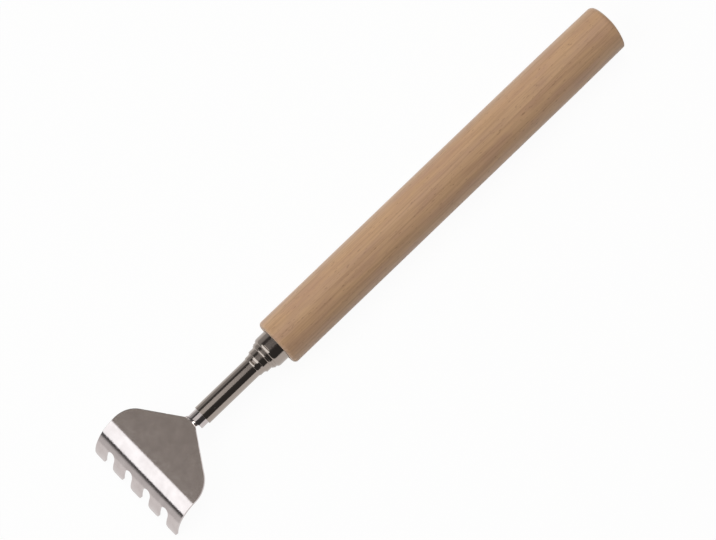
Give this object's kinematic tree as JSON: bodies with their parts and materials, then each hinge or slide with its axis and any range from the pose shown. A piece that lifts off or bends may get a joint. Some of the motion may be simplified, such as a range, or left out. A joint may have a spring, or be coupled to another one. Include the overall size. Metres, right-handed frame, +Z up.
{
  "type": "back scratcher",
  "caption": "Hand-held telescopic back scratcher: turned wooden handle, nested sliding steel tubes held by friction, and a stamped steel claw head with curled teeth.",
  "frame": {"origin": "on the table, under the middle of the whole pushed-in length", "axes": "+X along the tubes, from the claw to the handle's far end; +Z up, with the teeth pointing down"},
  "size_m": [0.2502, 0.0476, 0.02],
  "materials": {
    "beech": "bare, sanded smooth",
    "tube_steel": "polished stainless steel",
    "sheet_steel": "brushed stainless steel",
    "brass": "turned",
    "spring_bronze": "rolled spring strip",
    "nylon": "moulded"
  },
  "bodies": {
    "handle": {"handle": "beech", "outer_tube": "tube_steel", "tail_plug": "nylon"},
    "second_sleeve": {"second_friction_sleeve": "spring_bronze"},
    "second_tube": {"second_tube": "tube_steel", "second_stop_ring": "brass", "second_tail_ring": "brass"},
    "third_sleeve": {"third_friction_sleeve": "spring_bronze"},
    "third_tube": {"third_tube": "tube_steel", "third_stop_ring": "brass", "third_tail_ring": "brass"},
    "front_sleeve": {"front_friction_sleeve": "spring_bronze"},
    "claw": {"front_tube": "tube_steel", "front_stop_ring": "brass", "front_tail_ring": "brass", "claw_head": "sheet_steel"}
  },
  "joints": [
    {"name": "second_slide", "type": "slide", "parent": "handle", "child": "second_sleeve", "axis": [-1, 0, 0], "range_m": [0, 0.128]},
    {"name": "second_turn", "type": "hinge", "parent": "second_sleeve", "child": "second_tube", "pos_m": [-0.04874, 0, 0.01], "axis": [1, 0, 0], "continuous": true},
    {"name": "third_slide", "type": "slide", "parent": "second_tube", "child": "third_sleeve", "axis": [-1, 0, 0], "range_m": [0, 0.131]},
    {"name": "third_turn", "type": "hinge", "parent": "third_sleeve", "child": "third_tube", "pos_m": [-0.04874, 0, 0.01], "axis": [1, 0, 0], "continuous": true},
    {"name": "front_slide", "type": "slide", "parent": "third_tube", "child": "front_sleeve", "axis": [-1, 0, 0], "range_m": [0, 0.134]},
    {"name": "front_turn", "type": "hinge", "parent": "front_sleeve", "child": "claw", "pos_m": [-0.04874, 0, 0.01], "axis": [1, 0, 0], "continuous": true}
  ]
}
